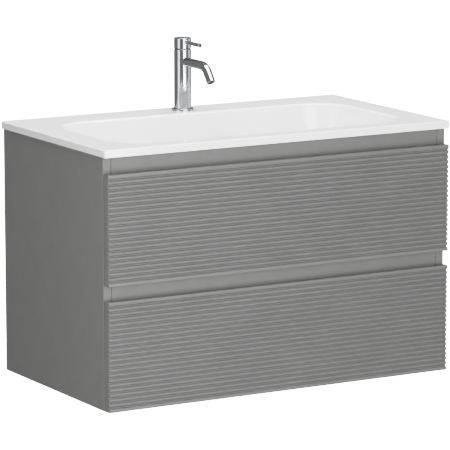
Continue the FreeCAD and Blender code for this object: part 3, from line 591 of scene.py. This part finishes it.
def washbasin():
    """One ceramic shell, from the drain out under the bowl, round the slab and back down inside."""
    low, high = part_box("washbasin")
    deck = high.z / MM
    half_w = (high.x - low.x) / MM / 2
    half_d = (high.y - low.y) / MM / 2
    slab_y = (high.y + low.y) / MM / 2
    front, back = low.y / MM + BOWL_FRONT, high.y / MM - BOWL_BACK
    bowl_y = (front + back) / 2
    bowl_x, bowl_d = half_w - BOWL_SIDE, (back - front) / 2
    lean = math.atan(BOWL_DRAFT / BOWL_DEPTH)

    def bowl_ring(inset, depth):
        return (bowl_x - inset, bowl_d - inset, BOWL_CORNER - inset, bowl_y, deck - depth)

    def round_ring(radius, depth):
        return (radius, radius, radius, bowl_y, deck - depth)

    def slab_ring(inset, z):
        return (half_w - inset, half_d - inset, SLAB_CORNER - inset, slab_y, z)

    def bottom_round(radius, corner_inset, floor_depth, angle, steps=10):
        reach = radius * math.tan((math.pi / 2 - angle) / 2)
        centre = (corner_inset + reach, floor_depth - radius)
        turns = [angle + (math.pi / 2 - angle) * i / steps for i in range(steps + 1)]
        return [(centre[0] - radius * math.cos(t), centre[1] + radius * math.sin(t)) for t in turns]

    outer_depth = BOWL_DEPTH + BOWL_WALL
    rings = [round_ring(DRAIN_R, outer_depth), round_ring(DRAIN_COLLAR_R, outer_depth)]
    outside = bottom_round(BOWL_BOTTOM_R + BOWL_WALL, BOWL_DRAFT - BOWL_WALL, outer_depth, lean)
    rings += [bowl_ring(u, w) for u, w in reversed(outside)]
    under = deck - BASIN_T
    rings.append(bowl_ring(BOWL_DRAFT * BASIN_T / BOWL_DEPTH - BOWL_WALL, BASIN_T))
    turns = [math.pi / 2 * i / 4 for i in range(5)]
    rings += [
        slab_ring(SLAB_UNDER_R * (1 - math.sin(t)), under + SLAB_UNDER_R * (1 - math.cos(t)))
        for t in turns
    ]
    rings += [
        slab_ring(SLAB_TOP_R * (1 - math.cos(t)), deck - SLAB_TOP_R * (1 - math.sin(t)))
        for t in turns
    ]
    lip_out = -BOWL_LIP * math.tan((math.pi / 2 - lean) / 2)
    for i in range(9):
        t = (math.pi / 2 - lean) * i / 8
        rings.append(bowl_ring(lip_out + BOWL_LIP * math.sin(t), BOWL_LIP * (1 - math.cos(t))))
    floor = BOWL_DEPTH - BOWL_FALL
    inside = bottom_round(BOWL_BOTTOM_R, BOWL_DRAFT, floor, lean, 14)
    rings += [bowl_ring(u, w) for u, w in inside]
    rings.append(bowl_ring(inside[-1][0] + 14.0, floor + BOWL_FALL / 10))
    rings += [
        round_ring(DRAIN_DISH_R, BOWL_DEPTH - 0.4),
        round_ring(DRAIN_FLAT_R, BOWL_DEPTH),
        round_ring(DRAIN_R + 1, BOWL_DEPTH),
        round_ring(DRAIN_R, BOWL_DEPTH + 1),
    ]
    bm = ringed_shell(rings)
    piece = finish_piece("washbasin_ceramic", bm, "washbasin", sharp=50.0)
    hole = bmesh.new()
    tap_y = middle_of("tap_body").y
    turn(hole, [(0, 0), (TAP_R, 0), (TAP_R, 40), (0, 40)], Vector((0, tap_y, (under - 5) * MM)))
    join_touching(hole)
    bmesh.ops.recalc_face_normals(hole, faces=hole.faces[:])
    cut_out(piece, hole)


# ---------------------------------------------------------------- mixer tap

TAP_AXIS = middle_of("tap_body")
TAP_AXIS.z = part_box("tap_body")[0].z
PIVOT_H = TAP_JOINT - PIVOT_BELOW_JOINT


def on_tap(reach, height):
    """A point in front of the tap's axis, at a height above the basin."""
    return TAP_AXIS + Vector((0, -reach, height)) * MM


def dome(edge_h, steps=10):
    """The joint's dome about the handle's pivot, from inside the edge's chamfer to the axis."""
    radius = math.hypot(TAP_R, edge_h - PIVOT_H)
    start = math.degrees(math.acos((TAP_R - TAP_CHAMFER) / radius))
    return arc((0, PIVOT_H), radius, start, 90, steps)


def tap_column():
    """The upright body with its domed top, and the ring it stands on."""
    edge_h = TAP_JOINT - TAP_GAP / 2
    body = [(0, 0), (TAP_R - 1, 0), (TAP_R, 0.5), (TAP_R, edge_h - TAP_CHAMFER)] + dome(edge_h)
    turned_piece("tap_body_turned", "tap_body", [(body, TAP_AXIS, UP)], 0.2)
    ring_r, ring_h = girth_of("tap_base_ring")
    bore = TAP_R + 0.02
    ring = [(bore, 0), (ring_r - 0.3, 0), (ring_r, 0.4)]
    ring += arc((ring_r - TAP_EDGE_R, ring_h - TAP_EDGE_R), TAP_EDGE_R, 0, 90, 6)
    ring += [(TAP_R + 0.5, ring_h), (bore, ring_h - 0.5), (bore, 0)]
    turned_piece("tap_base_ring_turned", "tap_base_ring", [(ring, TAP_AXIS, UP)])


def tap_cap():
    """The handle's cap, which carries the column's line upwards."""
    top = (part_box("tap_handle_cap")[1].z - TAP_AXIS.z) / MM
    cap = [(0, top)] + arc((TAP_R - TAP_EDGE_R, top - TAP_EDGE_R), TAP_EDGE_R, 90, 0, 6)
    edge_h = TAP_JOINT + TAP_GAP / 2
    cap += [(TAP_R, edge_h + TAP_CHAMFER)] + dome(edge_h)
    turned_piece("tap_handle_cap_turned", "tap_handle_cap", [(cap, TAP_AXIS, UP)], 0.2)


def tap_lever():
    """A slim bar with a collar at the cap, and a small end piece set off by a fine groove."""
    root = TAP_R - 1.0
    length = LEVER_REACH - root
    end = length - LEVER_KNOB
    collar = LEVER_R + 1.0
    groove = LEVER_R - 0.5
    knob = LEVER_R + 0.25
    knob_edge = 0.8
    bar = [(0, 0), (collar, 0), (collar, 2.6), (collar - 0.6, 3.2), (LEVER_R, 3.2)]
    bar += [(LEVER_R, end - 0.7), (groove, end - 0.6), (groove, end), (knob, end + 0.1)]
    bar += [(knob, length - knob_edge)]
    bar += arc((knob - knob_edge, length - knob_edge), knob_edge, 0, 90, 4) + [(0, length)]
    turned_piece(
        "tap_lever_turned", "tap_lever", [(bar, on_tap(root, LEVER_H), -TO_WALL)], 0.12)


def push(bm, edges, move=None, scale=None, about=None):
    """Extrudes a ring of edges, then moves it or scales it about a point; returns the new ring."""
    made = bmesh.ops.extrude_edge_only(bm, edges=edges)["geom"]
    verts = [g for g in made if isinstance(g, bmesh.types.BMVert)]
    if move is not None:
        bmesh.ops.translate(bm, vec=move, verts=verts)
    if scale is not None:
        bmesh.ops.scale(bm, vec=(scale,) * 3, space=Matrix.Translation(-about), verts=verts)
    return [g for g in made if isinstance(g, bmesh.types.BMEdge)]


def tap_spout():
    """A bent tube: a level run, a bend and a falling run that ends in a rolled mouth."""
    corner = SPOUT_TIP[0] - (SPOUT_ROOT - SPOUT_TIP[1]) / math.tan(SPOUT_DROP)
    tangent = SPOUT_BEND * math.tan(SPOUT_DROP / 2)
    last = math.dist((corner, SPOUT_ROOT), SPOUT_TIP) - tangent
    down = Vector((0, -math.cos(SPOUT_DROP), -math.sin(SPOUT_DROP)))
    tip = on_tap(*SPOUT_TIP)
    root = on_tap(TAP_R - 2.5, SPOUT_ROOT)
    bm = bmesh.new()
    bmesh.ops.create_circle(
        bm, cap_ends=False, segments=64, radius=SPOUT_R * MM, matrix=aim(root, -TO_WALL))
    ring = push(bm, bm.edges[:], move=on_tap(corner - tangent, SPOUT_ROOT) - root)
    spun = bmesh.ops.spin(
        bm, geom=ring, cent=on_tap(corner - tangent, SPOUT_ROOT - SPOUT_BEND), axis=(1, 0, 0),
        dvec=(0, 0, 0), angle=SPOUT_DROP, steps=28, use_merge=False, use_duplicate=False)
    ring = [g for g in spun["geom_last"] if isinstance(g, bmesh.types.BMEdge)]
    ring = push(bm, ring, move=down * (last - 0.5) * MM)
    mouth = [(0.3, SPOUT_R - 0.1), (0.2, SPOUT_R - 0.35), (0.0, AERATOR_R + 0.3), (-0.3, AERATOR_R)]
    radius = SPOUT_R
    for forward, next_radius in mouth:
        ring = push(bm, ring, move=down * forward * MM, scale=next_radius / radius, about=tip)
        radius = next_radius
    push(bm, ring, move=down * -6.0 * MM)
    join_touching(bm)
    finish_piece("tap_spout_bent", bm, "tap_spout")
    return tip, down


def tap_aerator(tip, down):
    """The outlet insert: a rim and a recessed plate of small openings."""
    inward = -down
    bm = bmesh.new()
    inner = AERATOR_R - 1.3
    outer = AERATOR_R - 0.05
    rim = [(inner, 1.0), (AERATOR_R - 0.3, 0.6), (outer, 1.0), (outer, 8.0), (inner, 8.0), (inner, 1.0)]
    turn(bm, rim, tip, inward, steps=48)
    plate = bmesh.new()
    openings = [(0.5 + (inner - 0.5) * i / 4, 2.2) for i in range(5)]
    turn(plate, openings, tip, inward, steps=24)
    join_touching(plate)
    bmesh.ops.inset_individual(plate, faces=plate.faces[:], thickness=0.14 * MM, depth=-0.6 * MM)
    pour(plate, bm)
    join_touching(bm)
    finish_piece("tap_aerator_insert", bm, "tap_aerator")


# ---------------------------------------------------------------- waste and trap

def waste_fittings():
    """The flange in the drain, the plug that rises from it, and the threaded tube below."""
    outer, height = girth_of("waste_flange")
    edge = 1.4
    flange = [(WASTE_BORE, 0), (outer, 0), (outer, 0.4)]
    flange += arc((outer - edge, height - edge), edge, 0, 90, 5)
    flange += [(WASTE_BORE + 1.5, height), (WASTE_BORE, height - 1.0), (WASTE_BORE, 0)]
    turned_piece("waste_flange_turned", "waste_flange", [(flange, foot_of("waste_flange"), UP)])
    outer, height = girth_of("waste_plug")
    stem, head, edge = 4.0, height - 6.0, 2.4
    plug = [(0, 0), (stem, 0), (stem, head), (outer - 1.0, head), (outer, head + 0.6)]
    plug += [(outer, height - edge)] + arc((outer - edge, height - edge), edge, 0, 80, 6)
    plug += [(outer * 0.5, height - 0.05), (0, height)]
    turned_piece("waste_plug_turned", "waste_plug", [(plug, foot_of("waste_plug"), UP)])
    outer, height = girth_of("waste_body")
    tube = [(WASTE_BORE, 0), (outer - 0.6, 0), (outer, 0.8)]
    for i in range(int((height - 12) / WASTE_THREAD)):
        start = 4 + i * WASTE_THREAD
        tube += [(outer, start), (outer - 0.7, start + 0.9), (outer, start + 1.6)]
    tube += [(outer, height), (WASTE_BORE, height), (WASTE_BORE, 0)]
    turned_piece("waste_body_threaded", "waste_body", [(tube, foot_of("waste_body"), UP)])


def ribbed_collar(bm, radius, length, point, direction, count=18):
    """Grip ribs round a hand nut or cap."""
    rib = bmesh.new()
    low, high = Vector((radius - 1.0, -1.5, 1.5)), Vector((radius + 1.0, 1.5, length - 1.5))
    box_mesh(rib, low * MM, high * MM)
    soften(rib, rib.edges[:], 0.6, 2)
    bmesh.ops.spin(
        rib, geom=rib.verts[:] + rib.edges[:] + rib.faces[:], cent=(0, 0, 0), axis=UP,
        dvec=(0, 0, 0), angle=2 * math.pi * (count - 1) / count, steps=count - 1, use_duplicate=True)
    bmesh.ops.transform(rib, matrix=aim(point, direction), verts=rib.verts[:])
    pour(rib, bm)


def pipe_profile(outer, inner, length):
    """The wall of a plain pipe, as (radius, height) points."""
    return [(inner, 0), (outer, 0), (outer, length), (inner, length), (inner, 0)]


def bottle_trap():
    """The two pipes, the cup with its socket and neck, the ribbed cap and the two hand nuts."""
    axis = Vector((0, middle_of("trap_cap").y, 0))
    low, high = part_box("trap_inlet_pipe")
    pipe = pipe_profile(PIPE_R, PIPE_BORE, (high.z - low.z) / MM)
    turned_piece("trap_inlet_pipe_tube", "trap_inlet_pipe", [(pipe, axis + UP * low.z, UP)])
    low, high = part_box("trap_outlet_pipe")
    outlet = Vector((0, low.y, (low.z + high.z) / 2))
    length = (high.y - low.y) / MM
    bead_r, bead_w, bead_to_wall = STOP_BEAD
    bead_end = length - bead_to_wall
    bead_start = bead_end - bead_w
    pipe = [(PIPE_BORE, 0), (PIPE_R, 0), (PIPE_R, bead_start), (bead_r - 0.4, bead_start)]
    pipe += [(bead_r, bead_start + 0.4), (bead_r, bead_end - 0.4), (bead_r - 0.4, bead_end)]
    pipe += [(PIPE_R, bead_end), (PIPE_R, length), (PIPE_BORE, length), (PIPE_BORE, 0)]
    turned_piece("trap_outlet_pipe_tube", "trap_outlet_pipe", [(pipe, outlet, TO_WALL)])
    low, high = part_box("trap_cup")
    height = (high.z - low.z) / MM
    shoulder = 8.0
    cup = [(CUP_BORE, 0), (CUP_R, 0)]
    cup += arc((CUP_R - shoulder, height - shoulder), shoulder, 0, 90, 8)
    cup += [(SOCKET_R, height), (SOCKET_R, height - 2.5), (CUP_BORE, height - shoulder), (CUP_BORE, 0)]
    socket_length = (high.y - axis.y) / MM - 26.0
    socket = pipe_profile(SOCKET_R, PIPE_R, socket_length)
    outlet_start = Vector((0, high.y - socket_length * MM, outlet.z))
    neck = [(PIPE_R, -3), (20.0, -3), (20.0, 4), (18.5, 5.5), (PIPE_R, 5.5), (PIPE_R, -3)]
    turned_piece("trap_cup_moulded", "trap_cup", [
        (cup, axis + UP * low.z, UP), (socket, outlet_start, TO_WALL),
        (neck, axis + UP * (high.z - 5.6 * MM), UP)])
    low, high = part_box("trap_cap")
    bm = bmesh.new()
    edge = 3.0
    cap = [(0, 1.2), (24.0, 1.2), (25.0, 0)] + arc((CAP_R - edge, edge), edge, 270, 360, 5)
    cap += [(CAP_R, CAP_H), (CUP_R + 0.1, CAP_H), (CUP_R + 0.1, 12.0), (0, 12.0)]
    turn(bm, cap, axis + UP * low.z)
    ribbed_collar(bm, CAP_R - 0.4, CAP_H - 2.0, axis + UP * (low.z + 2 * MM), UP, 24)
    finish_piece("trap_cap_ribbed", bm, "trap_cap")
    low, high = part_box("trap_collar_nuts")
    bm = bmesh.new()
    nut_r, nut_l = TOP_NUT
    bore = PIPE_R + 0.1
    nut = [(bore, 0), (nut_r - 1.0, 0), (nut_r, 1.0), (nut_r, nut_l - 2.0), (nut_r - 1.5, nut_l)]
    nut += [(21.2, nut_l), (21.2, 10.0), (bore, 10.0), (bore, 0)]
    point = axis + UP * (high.z - nut_l * MM)
    turn(bm, nut, point)
    ribbed_collar(bm, nut_r, nut_l - 2.0, point, UP)
    nut_r, nut_l = SIDE_NUT
    seat = SOCKET_R + 0.1
    nut = [(seat, 0), (nut_r - 1.0, 0), (nut_r, 1.0), (nut_r, nut_l - 2.0), (nut_r - 1.5, nut_l)]
    nut += [(bore, nut_l), (bore, 14.0), (seat, 14.0), (seat, 0)]
    point = Vector((0, high.y - nut_l * MM, outlet.z))
    turn(bm, nut, point, TO_WALL)
    ribbed_collar(bm, nut_r, nut_l - 2.0, point, TO_WALL)
    finish_piece("trap_collar_nuts_ribbed", bm, "trap_collar_nuts")


# ---------------------------------------------------------------- drawer boxes

def back_boards():
    """The two half backs of the upper drawer."""
    low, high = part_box("upper_drawer_backs")
    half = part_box("upper_drawer_cutout_wall")[1].x
    bm = bmesh.new()
    for start, end in ((low.x, -half), (half, high.x)):
        box_mesh(bm, Vector((start, low.y, low.z)), Vector((end, high.y, high.z)))
    soften(bm, bm.edges[:], 0.8)
    finish_piece("upper_drawer_backs_boards", bm, "upper_drawer_backs")


# ---------------------------------------------------------------- stage, light and camera

FLOOR_Z = -0.9
LAMP_HEIGHT = 0.35
TOP_HEIGHT = 2.4
CARD_HEIGHT = 2.3
WHITE_LEVEL = 3.0
AMBIENT = 0.31
MIRRORED_AMBIENT = 0.3
# Scene brightness and how bright it is shown, between black and the white level
TONE_CURVE = ((0.3, 0.3), (0.6, 0.597), (0.8, 0.728), (1.15, 0.815), (2.0, 0.95))


def stage():
    """A plain pale floor well below the hung cabinet. Only the camera sees it, so it throws no bounce
    light. Only the camera sees it, because the floor's bounce comes from a lamp."""
    material, tree, shader, place = start_material("white_studio_floor", Roughness=0.9)
    tint(tree, shader, noise(tree, place, 900.0), "F6F6F6", "FAFAFA")
    shader.inputs["Emission Color"].default_value = (1, 1, 1, 1)
    shader.inputs["Emission Strength"].default_value = WHITE_LEVEL
    bm = bmesh.new()
    bmesh.ops.create_grid(
        bm, x_segments=1, y_segments=1, size=60.0, matrix=Matrix.Translation((0, 0, FLOOR_Z)))
    mesh = bpy.data.meshes.new("floor")
    bm.to_mesh(mesh)
    bm.free()
    mesh.materials.append(material)
    floor = bpy.data.objects.new("floor", mesh)
    floor.visible_diffuse = False
    floor.visible_glossy = False
    floor.visible_transmission = False
    floor.visible_shadow = False
    bpy.context.scene.collection.objects.link(floor)


def around(azimuth, distance):
    """A place level with the cabinet: azimuth 0 is straight in front, and negative is to the left."""
    turned = math.radians(azimuth)
    return Vector((math.sin(turned) * distance, -math.cos(turned) * distance, LAMP_HEIGHT))


def softbox(name, place, size, power, lights=True, mirrored=True):
    """A rectangular lamp: it faces the cabinet, or straight down where it hangs above it.
    It lights the surfaces, or is mirrored in the glossy ones, or both."""
    data = bpy.data.lights.new(name, "AREA")
    data.shape = "RECTANGLE"
    data.size, data.size_y = size
    data.energy = power
    lamp = bpy.data.objects.new(name, data)
    lamp.location = place
    lamp.visible_diffuse = lights
    lamp.visible_glossy = mirrored
    if place.z < TOP_HEIGHT / 2:
        lamp.rotation_euler = (UP * LAMP_HEIGHT - place).to_track_quat("-Z", "Y").to_euler()
    bpy.context.scene.collection.objects.link(lamp)


def studio_walls(scene):
    """Even light from all round: white to look at, grey as a light and darker in reflections."""
    world = bpy.data.worlds.new("studio")
    world.use_nodes = True
    tree = world.node_tree
    path = add_node(tree, "ShaderNodeLightPath")
    glossy = add_node(
        tree, "ShaderNodeMapRange", {"To Min": AMBIENT, "To Max": MIRRORED_AMBIENT},
        {"Value": path.outputs["Is Glossy Ray"]})
    seen = add_node(
        tree, "ShaderNodeMapRange", {"To Max": WHITE_LEVEL},
        {"Value": path.outputs["Is Camera Ray"], "To Min": glossy.outputs["Result"]})
    walls = tree.nodes["Background"]
    walls.inputs["Color"].default_value = (1, 1, 1, 1)
    tree.links.new(seen.outputs["Result"], walls.inputs["Strength"])
    scene.world = world


def light_the_stage():
    """The studio's walls, lamps and reflected cards, and the tones they are shown with."""
    scene = bpy.context.scene
    studio_walls(scene)
    softbox("front_softbox", around(-1.5, 2.2), (1.62, 1.9), 37.0)
    softbox("left_front_fill", around(-52.0, 1.5), (0.5, 1.6), 6.8, mirrored=False)
    softbox("top_softbox", Vector((0, 0, TOP_HEIGHT)), (2.4, 1.8), 63.5, mirrored=False)
    softbox("top_front_card", Vector((0.1, -0.35, CARD_HEIGHT)), (2.0, 1.6), 43.0, lights=False)
    softbox("left_card", around(-86.0, 1.8), (1.05, 1.9), 9.4, lights=False)
    softbox("right_card", around(74.5, 2.2), (1.6, 1.9), 7.4, lights=False)
    view = scene.view_settings
    view.view_transform = "Standard"
    view.use_curve_mapping = True
    view.curve_mapping.white_level = (WHITE_LEVEL,) * 3
    curve = view.curve_mapping.curves[3]
    for scene_value, shown in TONE_CURVE:
        curve.points.new(scene_value / WHITE_LEVEL, shown)
    view.curve_mapping.update()


CAMERA_PLACE = Vector((-3.3847, -5.8809, 1.5199))
CAMERA_YAW = math.radians(29.905)
CAMERA_PITCH = math.radians(10.156)
CAMERA_LENS = 267.66


def camera():
    """A long lens, from the left and a little above."""
    data = bpy.data.cameras.new("camera")
    data.sensor_width = 36.0
    data.lens = CAMERA_LENS
    data.clip_end = 60.0
    view = bpy.data.objects.new("camera", data)
    flat = math.cos(CAMERA_PITCH)
    ahead = Vector(
        (math.sin(CAMERA_YAW) * flat, math.cos(CAMERA_YAW) * flat, -math.sin(CAMERA_PITCH)))
    view.location = CAMERA_PLACE
    view.rotation_euler = ahead.to_track_quat("-Z", "Y").to_euler()
    bpy.context.scene.collection.objects.link(view)
    bpy.context.scene.camera = view


# ---------------------------------------------------------------- build

for node, piece in frame["nodes"].items():
    piece.data.materials.clear()
    piece.data.materials.append(BY_SLOT[SLOT_OF[node]])

for node in ("side_panel_left", "side_panel_right", "bottom_panel", "back_rail_bottom"):
    board(node, 1.0)
for node in ("top_front_rail", "middle_front_rail"):
    board(node, 1.0, JOINT_GAP)
for node in ("upper_drawer_side_left", "upper_drawer_side_right", "lower_drawer_side_left",
             "lower_drawer_side_right", "lower_drawer_bottom", "lower_drawer_back"):
    board(node, 0.8)
back_boards()
ribbed_front("upper_drawer_front")
ribbed_front("lower_drawer_front")
washbasin()
tap_column()
tap_cap()
tap_lever()
tap_aerator(*tap_spout())
waste_fittings()
bottle_trap()
stage()
light_the_stage()
camera()

even_shading()
